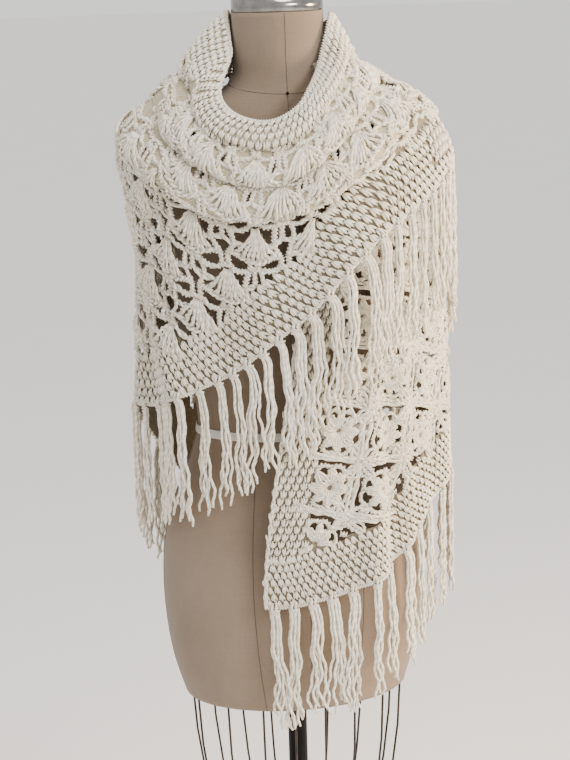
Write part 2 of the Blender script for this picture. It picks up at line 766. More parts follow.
def tape_finish():
    """White cotton twill tape: slanting ribs, one wave each TAPE_RIB of the slant."""
    finish = Finish("white_twill_tape", 0.85)
    place = finish.position()
    x, y, z = finish.parts(place)
    twill = ((x + y * 0.6 + z * 1.2) * (math.tau / TAPE_RIB)).wave()
    soil = finish.noise(place, 30, 4.0)
    clean = (twill * 0.4 + soil * 0.8).ramp(0.2, 0.9)
    finish.colour(finish.mix(clean, (0.52, 0.49, 0.43), (0.80, 0.78, 0.72)))
    return finish.bump(twill, 0.0003, 0.6).made


def metal_finish(name, dark, light, metallic, roughness):
    """Metal or enamel with faint smears and dust."""
    finish = Finish(name, roughness, Metallic=metallic)
    place = finish.position()
    smear = finish.noise(place, 60, 5.0)
    finish.colour(finish.mix(smear.ramp(0.3, 0.75), dark, light))
    feed(finish.tree, finish.shader.inputs["Roughness"], smear * 0.25 + (roughness - 0.1))
    return finish.bump(finish.noise(place, 300, 2.0), 0.0002, 0.15).made


def mesh_object(name, points, face_sets, material, uvs=None, uv_name="strand"):
    """A smooth mesh object from arrays: points, and a list of face arrays, each with its
    own number of corners. The list of uvs has one array of corner places a face array."""
    mesh = bpy.data.meshes.new(name)
    face_sets = [np.asarray(faces) for faces in face_sets if len(faces)]
    corners = np.concatenate([faces.ravel() for faces in face_sets])
    sizes = np.concatenate([np.full(len(faces), faces.shape[1]) for faces in face_sets])
    starts = np.concatenate([[0], np.cumsum(sizes)[:-1]])
    mesh.vertices.add(len(points))
    mesh.vertices.foreach_set("co", np.asarray(points, np.float32).ravel())
    mesh.loops.add(len(corners))
    mesh.loops.foreach_set("vertex_index", corners.astype(np.int32))
    mesh.polygons.add(len(sizes))
    mesh.polygons.foreach_set("loop_start", starts.astype(np.int32))
    mesh.update(calc_edges=True)
    if uvs is not None:
        flat = np.concatenate([np.asarray(uv, np.float32).reshape(-1, 2) for uv in uvs if len(uv)])
        mesh.uv_layers.new(name=uv_name).data.foreach_set("uv", flat.ravel())
    mesh.shade_smooth()
    mesh.materials.append(material)
    made = bpy.data.objects.new(name, mesh)
    bpy.context.scene.collection.objects.link(made)
    return made


def closed_rings(points):
    """Faces of a surface of rings of points, one above the other, and of its two ends."""
    rings, sides = points.shape[:2]
    index = np.arange(rings * sides).reshape(rings, sides)
    beside = np.roll(index, -1, axis=1)
    quads = np.stack([index[:-1], beside[:-1], beside[1:], index[1:]], axis=-1)
    return [quads.reshape(-1, 4), np.stack([index[0, ::-1], index[-1]])]


class Skein:
    """Gathers strands of yarn as tubes and makes them one mesh."""

    def __init__(self):
        self.points, self.quads, self.caps, self.quad_uvs, self.cap_uvs = [], [], [], [], []
        self.count = 0

    def tubes(self, centres, side, up, radius, sides=YARN_SIDES):
        """Tubes about lines of centres, shape (tubes, steps, 3). Each ring is the centre
        plus radius times (cosine of side plus sine of up)."""
        tubes, steps = centres.shape[:2]
        if not tubes:
            return
        turn = np.arange(sides) * math.tau / sides
        ring = (
            side[:, :, None, :] * np.cos(turn)[:, None]
            + up[:, :, None, :] * np.sin(turn)[:, None]
        )
        radius = np.broadcast_to(radius, (tubes, steps))
        points = centres[:, :, None, :] + radius[:, :, None, None] * ring
        index = self.count + np.arange(tubes * steps * sides).reshape(tubes, steps, sides)
        beside = np.roll(index, -1, axis=2)
        quads = np.stack([index[:, :-1], beside[:, :-1], beside[:, 1:], index[:, 1:]], axis=-1)
        length = running_length(centres)
        around = np.broadcast_to(np.arange(sides) / sides, (tubes, steps - 1, sides))
        here = np.broadcast_to(length[:, :-1, None], around.shape)
        there = np.broadcast_to(length[:, 1:, None], around.shape)
        next_around = around + 1 / sides
        uvs = np.stack([around, here, next_around, here, next_around, there, around, there], -1)
        caps = np.concatenate([index[:, 0, ::-1], index[:, -1]])
        self.points.append(points.reshape(-1, 3))
        self.quads.append(quads.reshape(-1, 4))
        self.caps.append(caps)
        self.quad_uvs.append(uvs.reshape(-1, 8))
        self.cap_uvs.append(np.zeros((len(caps), sides * 2)))
        self.count += tubes * steps * sides

    def plied(self, path, outward, yarn, pitch, sides=YARN_SIDES):
        """Two strands that wind round a path like the plies of a cord, one turn each pitch."""
        if not len(path):
            return
        along = unit(np.gradient(path, axis=1))
        side = unit(np.cross(along, outward))
        up = np.cross(side, along)
        yarn = np.broadcast_to(yarn, path.shape[:2])
        turn = running_length(path) * math.tau / pitch
        for start in (0, math.pi):
            angle = (turn + start)[..., None]
            offset = yarn[..., None] * (np.cos(angle) * side + np.sin(angle) * up)
            self.tubes(path + offset, side, up, yarn, sides)

    def make(self, name, material, slot="yarn"):
        """One mesh of all the strands, with its end caps sorted by their sides."""
        by_size = {}
        for caps, uvs in zip(self.caps, self.cap_uvs):
            by_size.setdefault(caps.shape[1], []).append((caps, uvs))
        sets = [np.concatenate(self.quads)]
        uvs = [np.concatenate(self.quad_uvs)]
        for pairs in by_size.values():
            sets.append(np.concatenate([caps for caps, _ in pairs]))
            uvs.append(np.concatenate([uv for _, uv in pairs]))
        made = mesh_object(name, np.concatenate(self.points), sets, material, uvs)
        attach(made, "root")
        return made


def fan_lattice(width, height, fan_width, seed):
    """Apex places of the fans over a cloth and the way each is turned: rows FAN_ROW apart,
    each set over by half the width of a fan from the last."""
    rows = np.arange(-1, int(height / FAN_ROW) + 2)
    columns = np.arange(-1, int(width / fan_width) + 2)
    row, column = np.meshgrid(rows, columns, indexing="ij")
    x = (column + 0.5 * (row % 2) + 0.25) * fan_width
    y = (row + 0.15) * FAN_ROW
    turns = np.radians(np.random.default_rng(seed).uniform(-FAN_TURN, FAN_TURN, x.size))
    return np.stack([x.ravel(), y.ravel()], axis=-1), turns


def square_lattice(width, height):
    """Middles of the squares over a cloth, in a grid that leans, and the way each is
    turned."""
    rows = np.arange(-1, int(height / SQUARE) + 3)
    columns = np.arange(-1, int(width / SQUARE) + 3)
    row, column = np.meshgrid(rows, columns, indexing="ij")
    grid = np.stack([column.ravel() + 0.55, row.ravel() + 0.3], axis=-1) * SQUARE
    lean = np.array([math.radians(SQUARE_LEAN)])
    return turned_by(grid[None], lean)[0, 0], np.full(len(grid), lean[0])


def stray(flat):
    """How far a place of the lace strays from the even pattern: two slow waves and two
    quicker ones, along the cloth and down it."""
    x, y = flat[..., 0] * math.tau, flat[..., 1] * math.tau
    along = 0.0022 * np.sin(x / 0.083 + y / 0.131) + 0.0010 * np.sin(x / 0.031 - y / 0.047)
    down = 0.0020 * np.sin(y / 0.071 - x / 0.109) + 0.0009 * np.sin(x / 0.027 + y / 0.039)
    return np.stack([along, down], axis=-1)


def turned_by(lines, turns):
    """Flat lines turned about the origin, one copy for each turn."""
    cosine, sine = np.cos(turns)[:, None, None], np.sin(turns)[:, None, None]
    x, y = lines[None, ..., 0], lines[None, ..., 1]
    return np.stack([x * cosine - y * sine, x * sine + y * cosine], axis=-1)


def arcs(start, end, bow, steps):
    """Flat lines from starts to ends, bowed to one side by a parabola."""
    t = np.linspace(0, 1, steps)[:, None]
    start, end = np.asarray(start)[..., None, :], np.asarray(end)[..., None, :]
    step = end - start
    square = np.stack([-step[..., 1], step[..., 0]], axis=-1)
    square = square / np.maximum(np.linalg.norm(square, axis=-1, keepdims=True), 1e-9)
    bow = np.asarray(bow)[..., None, None]
    return start + t * step + 4 * t * (1 - t) * bow * square


def arrows(angles):
    """Flat arrows of length 1 at angles from straight down the cloth."""
    return np.stack([np.sin(angles), np.cos(angles)], axis=-1)


def fan_lines():
    """Flat lines of one fan about its apex: posts that radiate downwards."""
    angles = np.radians(np.linspace(-FAN_SPREAD, FAN_SPREAD, FAN_POSTS))
    away = arrows(angles)
    return arcs(away * 0.004, away * FAN_RADIUS, np.sin(angles) * 0.003, 6)


def hoop_lines():
    """The scalloped line of stitches round a fan's rim."""
    away = arrows(np.radians(np.linspace(-FAN_SPREAD - 4, FAN_SPREAD + 4, FAN_POSTS + 1)))
    reach = FAN_RADIUS + 0.002
    return arcs(away[:-1] * reach, away[1:] * reach, np.full(FAN_POSTS, 0.0012), 4)


def net_lines(fan_width):
    """The chains of the net, drawn in or out sideways to the width of a fan."""
    table = np.array(NET_CHAINS) / 1000
    table[:, [0, 2]] *= fan_width / FAN_WIDTH
    return arcs(table[:, 0:2], table[:, 2:4], table[:, 4], 6)


def petal_lines():
    """Flat lines of one square motif about its centre: eight petals of four posts."""
    away = arrows(np.radians(np.arange(8) * 45))
    start = np.repeat(away * 0.003, 4, axis=0)
    end = np.repeat(away * PETAL, 4, axis=0)
    return arcs(start, end, np.tile(PETAL_OFFSETS, 8), 6)


def square_lines():
    """Chains of one square motif: loops from petal to petal, three lines to each corner,
    and a ladder of two bars with rungs along its right and lower sides."""
    away = arrows(np.radians(np.arange(8) * 45))
    tips = away * (PETAL + 0.001)
    loops = arcs(tips, np.roll(tips, -1, axis=0), np.full(8, 0.005), 6)
    half = SQUARE / 2
    corners = away[1::2] * half * math.sqrt(2)
    starts = np.repeat(tips[1::2], 3, axis=0)
    spokes = arcs(starts, np.repeat(corners, 3, axis=0), np.tile([-0.006, 0, 0.006], 4), 6)
    rung = half - 0.0065
    bars = arcs(
        [(rung, -half), (half, -half), (-half, rung), (-half, half)],
        [(rung, half), (half, half), (half, rung), (half, half)],
        [0.001, -0.001, 0.001, -0.001], 6,
    )
    places = np.array([-0.028, -0.014, 0.0, 0.014, 0.028])
    low, high = np.full(5, rung), np.full(5, half)
    across = arcs(np.stack([low, places], -1), np.stack([high, places], -1), np.zeros(5), 6)
    down = arcs(np.stack([places, low], -1), np.stack([places, high], -1), np.zeros(5), 6)
    return np.concatenate([loops, spokes, bars, across, down])


def unstretched(path, flat, most=MOST_STRETCH):
    """Which lines are less than so many times as long on the cloth as flat."""
    reach = running_length(np.concatenate([flat, 0 * flat[..., :1]], axis=-1))[:, -1]
    return running_length(path)[:, -1] < most * reach


def keep_lines(stretch, azimuth, level, zone):
    """Which lines have most of their points on the stretch and in its zone."""
    inside = on_stretch(stretch, azimuth, level) & zone(azimuth, level)
    return inside.mean(axis=1) > KEPT_SHARE


def on_stretch(stretch, azimuth, level):
    """Which places lie on a stretch and not past its free edge."""
    inside = (azimuth > stretch.first + SIDE_SLACK) & (azimuth < stretch.last - SIDE_SLACK)
    inside &= (level > stretch.top) & (level < stretch.bottom)
    return inside & (stretch.to_edge(azimuth, level) > 0)


class Panel:
    """What one stretch shows: its zones, its ground cloth and its stitches. Window gives
    the levels that show, rim and border the widths of the solid bands at the top and at the
    hem, solid_from the azimuth past which the ground is solid, and cell the scale of the
    solid stitch."""

    def __init__(
        self, name, stretch, window, rim=RIM_BORDER, motif="fans", border=HEM_BORDER,
        fan_width=FAN_WIDTH, backed=False, solid_from=NOWHERE, turns=(), cell=1.0,
    ):
        self.name, self.stretch, self.window = name, stretch, window
        self.rim, self.motif, self.border = rim, motif, border
        self.fan_width, self.backed, self.solid_from = fan_width, backed, solid_from
        self.turns, self.cell = turns, cell

    def in_window(self, azimuth, level):
        """Which places lie in the levels that the panel shows."""
        low, high = self.window
        return on_stretch(self.stretch, azimuth, level) & (level > low) & (level < high)

    def by_hem(self, azimuth, level):
        """Which places are nearer to the hem than the border's width."""
        if not self.stretch.has_hem:
            return np.zeros(np.shape(azimuth), bool)
        return self.stretch.to_hem(azimuth, level) < self.border

    def by_rim(self, azimuth, level):
        """Which places are nearer to the top than the rim's width."""
        return self.stretch.to_rim(azimuth, level) < self.rim

    def by_edge(self, azimuth, level):
        """Which places are nearer to the free edge than its border's width."""
        return self.stretch.to_edge(azimuth, level) < EDGE_BORDER

    def in_lace(self, azimuth, level):
        """Which places of the window lie in none of the solid bands."""
        border = self.by_hem(azimuth, level) | self.by_rim(azimuth, level)
        return self.in_window(azimuth, level) & ~border & ~self.by_edge(azimuth, level)

    def motifs(self):
        """Places of the fans or of the squares, and the way each is turned."""
        width, depth = self.stretch.along[-1], self.stretch.down.max()
        if self.motif == "fans":
            return fan_lattice(width, depth, self.fan_width, len(self.name))
        return square_lattice(width, depth)

    def zones(self):
        """The solid zones, each with the way places in it are measured, its width and the
        test of what lies in it. A zone laid from the top overlaps the hem's by half a row."""
        stretch = self.stretch

        def above_hem(azimuth, level):
            """Half a row inside the hem's border or higher, or at one of its sharp turns."""
            if not stretch.has_hem:
                return True
            above = stretch.to_hem(azimuth, level) > self.border - 0.5 * CELL_ROW
            return above | self.at_turns(azimuth, level)

        def in_hem(azimuth, level):
            """In the hem's border, away from its sharp turns."""
            return self.by_hem(azimuth, level) & ~self.at_turns(azimuth, level)

        def in_rim(azimuth, level):
            """In the rim and above the hem's border."""
            return self.by_rim(azimuth, level) & above_hem(azimuth, level)

        def in_edge(azimuth, level):
            """By the free edge or at a sharp turn, outside the rim and the hem's border."""
            edge = self.by_edge(azimuth, level) | self.at_turns(azimuth, level)
            return edge & above_hem(azimuth, level) & ~self.by_rim(azimuth, level)

        zones = []
        if stretch.has_hem:
            zones.append((stretch.from_hem, self.border, in_hem))
        if self.rim:
            zones.append((stretch.from_top, self.rim, in_rim))
        if stretch.edge is not None or self.turns:
            zones.append((stretch.from_top, float(stretch.down.max()), in_edge))
        return zones

    def at_turns(self, azimuth, level):
        """Parts of the hem border where the hem turns so sharply that rows square to it
        would part: spans of azimuth, each from a share of the border's width up."""
        share = self.stretch.to_hem(azimuth, level) / self.border
        found = np.zeros(np.shape(azimuth), bool)
        for first, last, lowest in self.turns:
            found |= (azimuth > first) & (azimuth < last) & (share > lowest)
        return found & self.by_hem(azimuth, level)

    def granules(self, skein):
        """Cells of solid stitch in rows, set over by half a cell from row to row. Each
        strand of a cell is a straight line that rises in the middle as half a sine."""
        stretch = self.stretch
        draw = np.random.default_rng(len(self.name))
        width = max(stretch.along_hem[-1], stretch.along[-1]) + SPARE_WIDTH
        strands = np.array(CELL_STRANDS) / 1000 * self.cell
        pitch, pitch_across = CELL_PITCH * self.cell, CELL_ROW * self.cell
        t = np.linspace(0, 1, CELL_STEPS)
        for measured, reach, zone in self.zones():
            rows = np.arange(int(reach / pitch_across) + 1)
            columns = np.arange(-LEAD_CELLS, int(width / pitch) + 1)
            row, column = np.meshgrid(rows, columns, indexing="ij")
            x = (column + 0.5 * (row % 2)).ravel() * pitch
            y = (row.ravel() + 0.5) * pitch_across
            middle = measured(x, y)
            kept = self.in_window(*middle) & zone(*middle)
            centre = np.stack([x[kept], y[kept]], axis=-1)
            for strand in strands:
                jitter = draw.normal(0, CELL_JITTER, (2, len(centre), 2))
                start = centre + strand[0:2] + jitter[0]
                end = centre + strand[2:4] + jitter[1]
                flat = start[:, None, :] + t[:, None] * (end - start)[:, None, :]
                azimuth, level = measured(flat[..., 0], flat[..., 1])
                whole = (level > -1).all(axis=1)
                azimuth = np.clip(azimuth[whole], stretch.first, stretch.last)
                level = np.clip(level[whole], *self.window)
                uneven = draw.normal(0, CELL_UNEVEN, (len(level), 1))
                lift = GROUND_LIFT + (strand[4] * np.sin(np.pi * t) + uneven)
                path, outward = stretch.lay(azimuth, level, lift)
                even = unstretched(path, flat[whole], CELL_STRETCH)
                path, outward = path[even], outward[even]
                along = unit(np.gradient(path, axis=1))
                side = unit(np.cross(along, outward))
                radius = strand[5] * np.array([CELL_END, 1.0, 1.0, CELL_END])
                skein.tubes(path, side, np.cross(side, along), radius, LACE_SIDES)

    def lace(self, skein):
        """Fans or square motifs laid over the stretch, each line of yarn kept where most
        of it lies in the lace."""
        stretch = self.stretch
        draw = np.random.default_rng(len(self.name) + LACE_DRAWS)
        places, turns = self.motifs()
        if self.motif == "fans":
            net = turned_by(net_lines(self.fan_width), 0 * turns)
            sets = (
                (turned_by(fan_lines(), turns), POST_YARN, POST_PITCH, FAN_RISE),
                (turned_by(hoop_lines(), turns), POST_YARN, HOOP_PITCH, HOOP_RISE),
                (net, CHAIN_YARN, CHAIN_PITCH, 0.0),
            )
        else:
            sets = (
                (turned_by(petal_lines(), turns), PETAL_YARN, POST_PITCH, PETAL_RISE),
                (turned_by(square_lines(), turns), LADDER_YARN, CHAIN_PITCH, 0.0),
            )
        for lines, yarn, pitch, rise in sets:
            steps = lines.shape[2]
            flat = (places[:, None, None, :] + lines).reshape(-1, steps, 2)
            flat = flat + stray(flat)
            azimuth, level = stretch.from_top(flat[..., 0], flat[..., 1])
            kept = keep_lines(stretch, azimuth, level, self.in_lace)
            azimuth = np.clip(azimuth[kept], stretch.first, stretch.last)
            level = np.clip(level[kept], *self.window)
            if stretch.edge is not None:
                azimuth = np.maximum(azimuth, np.interp(level, *stretch.edge))
            t = np.linspace(0, 1, steps)
            uneven = draw.normal(0, LACE_UNEVEN, (len(level), 1))
            lift = GROUND_LIFT + rise * np.sin(np.pi * t) + uneven
            thick = yarn * (POST_ROOT + POST_GROWTH * t if rise > HOOP_RISE else 1.0)
            path, outward = stretch.lay(azimuth, level, lift)
            even = unstretched(path, flat[kept])
            skein.plied(path[even], outward[even], thick, pitch, sides=LACE_SIDES)

    def worked_solid(self, azimuth, level):
        """Which places of the ground are solid: the borders, the fans and the hearts of
        squares. A backed fold is solid but for one gap beside each fan."""
        solid = self.by_hem(azimuth, level) | self.by_rim(azimuth, level)
        solid |= self.by_edge(azimuth, level)
        along = np.interp(azimuth, self.stretch.azimuths, self.stretch.along)
        down = self.stretch.to_rim(azimuth, level)
        shift = stray(np.stack([along, down], axis=-1))
        along, down = along - shift[..., 0], down - shift[..., 1]
        gaps = np.zeros(solid.shape, bool)
        for (x, y), turn in zip(*self.motifs()):
            reach = np.hypot(along - x, down - y)
            if self.motif == "squares":
                solid |= reach < HEART * PETAL
                continue
            angle = np.arctan2(along - x, down - y) + turn
            inside = np.abs(angle) < math.radians(FAN_SPREAD)
            solid |= inside & (reach > FAN_EYE) & (reach < FAN_RADIUS - FAN_MARGIN)
            beside = along - x - GAP_ALONG * self.fan_width
            gaps |= np.hypot(beside, (down - y - GAP_DOWN) * GAP_FLAT) < GAP_RADIUS
        if self.backed:
            solid = ~gaps
        return solid | (azimuth > self.solid_from)

    def ground(self, material):
        """The thin cloth under the stitches: those cells of a grid over the stretch that
        are worked solid, with a wall of CLOTH_WALL."""
        stretch = self.stretch
        top, bottom = self.window
        depth = float(np.interp(bottom, stretch.levels, stretch.down.mean(axis=1)))
        depth -= float(np.interp(top, stretch.levels, stretch.down.mean(axis=1)))
        rows = max(int(depth / GROUND_CELL), LEAST_CELLS)
        columns = max(int(stretch.along.max() / GROUND_CELL), LEAST_CELLS)
        level = np.linspace(top, bottom, rows + 1)[:, None]
        start = np.full(level.shape, stretch.first)
        if stretch.edge is not None:
            start = np.interp(level, *stretch.edge)
        azimuth = start + np.linspace(0, 1, columns + 1) * (stretch.last - start)
        level = np.broadcast_to(level, azimuth.shape)
        points, _ = stretch.lay(azimuth, level, -GROUND_LIFT)
        middle = 0.25 * (azimuth[:-1, :-1] + azimuth[1:, :-1] + azimuth[:-1, 1:] + azimuth[1:, 1:])
        middle_level = 0.5 * (level[:-1, :-1] + level[1:, 1:])
        keep = self.worked_solid(middle, middle_level)
        index = np.arange(points.shape[0] * points.shape[1]).reshape(points.shape[:2])
        quads = np.stack([index[:-1, :-1], index[1:, :-1], index[1:, 1:], index[:-1, 1:]], -1)
        run = np.interp(azimuth, stretch.azimuths, stretch.along)
        fall = stretch.to_rim(azimuth, level)
        flat = np.stack([run, fall], axis=-1).reshape(-1, 2)
        used, quads = np.unique(quads[keep], return_inverse=True)
        quads = quads.reshape(-1, 4)
        made = mesh_object(
            self.name + "_cloth", points.reshape(-1, 3)[used], [quads], material,
            [flat[used][quads]], "cloth",
        )
        wall = made.modifiers.new("wall", "SOLIDIFY")
        wall.thickness = CLOTH_WALL
        wall.offset = -1
        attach(made, "root")
        return made


def edge_chain(skein, stretch, azimuth, level, lift=EDGE_LIFT):
    """A chain worked along an edge: a cord of two plies over a path of places."""
    path, outward = stretch.lay(azimuth, level, lift)
    skein.plied(path[None], outward[None], EDGE_YARN, EDGE_PITCH)


def tassels(skein, stretch, azimuths, seed):
    """A tassel below the middle of each column of the hem: wavy strands that hang from it
    and a knot over it. A strand is its root, plus a spread that grows as the square of the
    way down, plus sines along the hem and away from it that grow as its square root."""
    draw = np.random.default_rng(seed)
    middle = 0.5 * (azimuths[:-1] + azimuths[1:])
    tassel_count = len(middle)
    root, _ = stretch.lay(middle, np.full(tassel_count, stretch.bottom), 0.0005)
    angle = np.radians(middle)
    away = np.stack([np.sin(angle), -np.cos(angle), 0 * angle], axis=-1)[:, None, :]
    beside = np.stack([np.cos(angle), np.sin(angle), 0 * angle], axis=-1)[:, None, :]
    down = np.linspace(0, 1, STRAND_STEPS)
    slope = np.interp(middle, stretch.azimuths, stretch.slope)[:, None]
    shared = draw.uniform(0, math.tau, tassel_count)[:, None]
    shared_turns = draw.uniform(*SHARED_TURNS, tassel_count)[:, None]
    shared_lean = draw.normal(0, LEAN, tassel_count)[:, None]
    for strand in range(TASSEL_STRANDS):
        share = 1.0 if strand < SURE_STRANDS else LOOSE_SHARE
        there = draw.uniform(0, 1, tassel_count) < share
        count = int(there.sum())
        length = FRINGE_LENGTH * draw.uniform(*STRAND_LENGTHS, (count, 1))
        place = strand - (TASSEL_STRANDS - 1) / 2
        offset = place * STRAND_SPACE + draw.normal(0, 0.0005, (count, 1))
        spread = offset * (1.0 + draw.uniform(0.0, 2.4, (count, 1)) * down**2)
        phase = draw.uniform(0, math.tau, (count, 1))
        turn = math.tau * draw.uniform(*OWN_TURNS, (count, 1)) * down + phase
        kink = (0.0010 + 0.0014 * down) * np.sin(turn) * np.sqrt(down)
        together = math.tau * shared_turns[there] * down + shared[there]
        sway = SWAY * (np.sin(together) - np.sin(shared[there])) * np.sqrt(down)
        shoulder = KNOT_REACH * np.sin(slope[there]) * (1 - np.exp(-down / 0.06))
        lean = shared_lean[there] * down + shoulder
        depth = 0.0016 * np.cos(turn) * np.sqrt(down)
        depth = depth + (0.0018 if strand % 2 else -0.0014) + 0.0016
        across = (spread + kink + sway + lean)[..., None] * beside[there]
        outwards = depth[..., None] * away[there]
        fall = np.zeros((count, STRAND_STEPS, 3))
        fall[..., 2] = -0.004 - length * down
        path = root[there][:, None, :] + across + outwards + fall
        along = unit(np.gradient(path, axis=1))
        side = unit(np.cross(along, np.broadcast_to(away[there], path.shape)))
        radius = STRAND_RADIUS * np.concatenate([np.full(STRAND_STEPS - 1, 1.0), [0.7]])
        skein.tubes(path, side, np.cross(side, along), radius, 6)
    knots(skein, root[:, None, :], beside, away)


def knots(skein, root, beside, away):
    """A knot over the hem for each tassel: two legs that come over it, and two bars wound
    across them. A leg's reach is half a sine, a bar's a parabola."""
    t = np.linspace(0, 1, 5)[:, None]
    for leg in (-1, 1):
        reach = 0.0022 + 0.0022 * np.sin(np.pi * t)
        rise = (0.007 - 0.016 * t) * np.array([0, 0, 1.0])
        path = root + leg * LEG_SPACE * beside + reach * away + rise
        skein.plied(path, np.broadcast_to(away, path.shape), LEG_YARN, 0.012)
    t = np.linspace(-1, 1, 7)[:, None]
    for fall, size in BARS:
        reach = 0.0048 - 0.0042 * t**2
        path = root + size * t * beside + reach * away + np.array([0, 0, fall])
        skein.plied(path, np.broadcast_to(away, path.shape), BAR_YARN, 0.011)


def panel_edge_line():
    """Levels and azimuths of the lower panel's free front edge."""
    drop = np.linspace(0, 1, 60)
    return 3 + drop, read_between(PANEL_EDGE, drop)[:, 0]


def shawl(yarn, ground, backing):
    """Every stretch: its cloth, and its stitches, lace and fringe, by name."""
    levels, starts = panel_edge_line()
    fold = Stretch(BACK_LEFT, SHOULDER_SEAM, 0, 3)
    front = Stretch(BACK_LEFT, SHOULDER_SEAM, 3, 4)
    back = Stretch(BACK_RIGHT, BACK_LEFT, 0, 4)
    thrown = Stretch(SHOULDER_SEAM, THROWN_EDGE, 0, 4, far_edge=True)
    panel = Stretch(PANEL_START - 1, BACK_RIGHT, 3, 4, edge=(levels, starts))
    under = Stretch(UNDER_START, BACK_RIGHT, 0, 3)
    stretches = (
        Panel("collar_fold", fold, (0, 1), COLLAR_BORDER, backed=True, cell=0.92),
        Panel("middle_fold", fold, (1, 2), fan_width=COWL_FAN_WIDTH, backed=True),
        Panel("lower_fold", fold, (2, 3), fan_width=COWL_FAN_WIDTH, backed=True),
        Panel(
            "front", front, (3, 4), 0, border=FRONT_BORDER, solid_from=FRONT_SOLID,
            turns=FRONT_TURNS,
        ),
        Panel("back", back, (0, 4)),
        Panel("thrown_end", thrown, (0, 4), turns=THROWN_TURNS),
        Panel("lower_panel", panel, (3, 4), 0, motif="squares", cell=0.85),
        Panel("under_shoulder", under, (0, 3)),
    )
    fringes = {
        "front": (BACK_LEFT, SHOULDER_SEAM, FRONT_COLUMNS, 1),
        "back": (BACK_RIGHT, BACK_LEFT, BACK_COLUMNS, 2),
        "lower_panel": (PANEL_START, BACK_RIGHT, PANEL_COLUMNS, 3),
        "thrown_end": (SHOULDER_SEAM, THROWN_TIP, THROWN_COLUMNS, 4),
    }
    made = {}
    for part in stretches:
        cloth = part.ground(backing if part.backed else ground)
        borders, lace, fringe = Skein(), Skein(), Skein()
        part.granules(borders)
        if part.name == "collar_fold":
            along = np.linspace(BACK_LEFT, SHOULDER_SEAM, 260)
            edge_chain(borders, fold, along, 0 * along)
        if part.name == "lower_panel":
            edge_chain(borders, panel, starts + 0.5, levels)
        part.lace(lace)
        if part.name in fringes:
            first, last, columns, seed = fringes[part.name]
            tassels(fringe, part.stretch, np.linspace(first, last, columns), seed)
            along = np.linspace(first, last, 200)
            edge_chain(fringe, part.stretch, along, 0 * along + 4, FRINGE_EDGE_LIFT)
        skeins = {"stitches": borders, "lace": lace, "fringe": fringe}
        filled = {kind: skein for kind, skein in skeins.items() if skein.count}
        pieces = [skein.make(f"{part.name}_{kind}", yarn) for kind, skein in filled.items()]
        made[part.name] = (cloth, pieces)
    return made


def dress_form(linen, thread):
    """The torso and neck: an ellipse at each height, closed top and bottom, with sewn
    seams as fine cords half sunk in the linen."""
    sides, rings = 112, 150
    azimuth = np.arange(sides) * 360 / sides
    height = np.linspace(TORSO_BOTTOM, NECK_TOP, rings)[:, None]
    radius = form_radius(azimuth, height)
    body = on_azimuth(azimuth, radius, height)
    edge = on_azimuth(azimuth, radius[:1] - 0.003, TORSO_BOTTOM)
    shares = np.array([0.75, 0.5, 0.25, 0.05])[:, None]
    floor = on_azimuth(azimuth, radius[:1] * shares, TORSO_BOTTOM)
    lid = on_azimuth(azimuth, radius[-1:] * shares, NECK_TOP)
    points = np.concatenate([floor[::-1], edge, body, lid])
    made = mesh_object("form_body", points.reshape(-1, 3), closed_rings(points), linen)
    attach(made, "root")
    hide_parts("dress_form")

    seams = Skein()
    lines = []
    steps = 90
    for centre, top in ((0, NECK_TOP - 0.001), (180, NECK_TOP - 0.001), (90, 1.39), (-90, 1.39)):
        lines.append((np.full(steps, float(centre)), np.linspace(TORSO_BOTTOM, top, steps)))
    z = np.linspace(TORSO_BOTTOM, FRONT_SEAM[0][-1], steps)
    for way in (-1, 1):
        lines.append((way * np.interp(z, *FRONT_SEAM), z))
        lines.append((180 + way * np.interp(z, *BACK_SEAM), z))
    around = np.linspace(0, 360, 120)
    lines.append((around, NECK_SEAM + NECK_SEAM_RISE * (1 - np.cos(np.radians(around))) / 2))
    for azimuths, heights in lines:
        places = on_azimuth(azimuths, form_radius(azimuths, heights) + 0.0001, heights)
        outward = unit(on_azimuth(azimuths, np.ones(len(azimuths)), np.zeros(len(azimuths))))
        along = unit(np.gradient(places, axis=0))
        side = unit(np.cross(along, outward))
        up = np.cross(side, along)
        seams.tubes(places[None], side[None], up[None], 0.0004, 6)
    seams.make("form_seams", thread, "linen")


def waist_tape(tape):
    """A flat band round the waist with rounded edges: a thin lens carried round the form."""
    azimuth = np.linspace(0, 360, 145)[:-1]
    turn = np.radians(np.arange(12) * 30)[:, None]
    height = WAIST_HEIGHT + TAPE_WIDTH / 2 * np.sign(np.cos(turn)) * np.abs(np.cos(turn)) ** 0.4
    skin = form_radius(azimuth, height + 0 * azimuth)
    points = on_azimuth(azimuth, skin + TAPE_LIFT + TAPE_SWELL * np.sin(turn), height)
    index = np.arange(points.shape[0] * points.shape[1]).reshape(points.shape[:2])
    after, beside = np.roll(index, -1, axis=0), np.roll(index, -1, axis=1)
    quads = np.stack([index, after, np.roll(after, -1, axis=1), beside], axis=-1).reshape(-1, 4)
    made = mesh_object("form_waist_tape", points.reshape(-1, 3), [quads], tape)
    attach(made, "root")
    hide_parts("waist_tape")


def pins(black):
    """Black pin heads at the neck seam and on the waist tape."""
    places = (("neck_pin", 0, 1.4525, 0.0008), ("tape_pin", -36, WAIST_HEIGHT, 0.0022))
    for name, azimuth, height, off in places:
        radius = float(form_radius(azimuth, height)) + off
        centre = on_azimuth(azimuth, radius, height)
        turn, rise = np.meshgrid(np.arange(16) * math.tau / 16, np.radians(np.linspace(-88, 88, 9)))
        ball = np.stack([np.cos(turn) * np.cos(rise), np.sin(turn) * np.cos(rise), np.sin(rise)], -1)
        points = (centre + PIN_RADIUS * ball).reshape(-1, 3)
        pin = mesh_object(name, points, closed_rings(ball), black)
        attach(pin, "root")


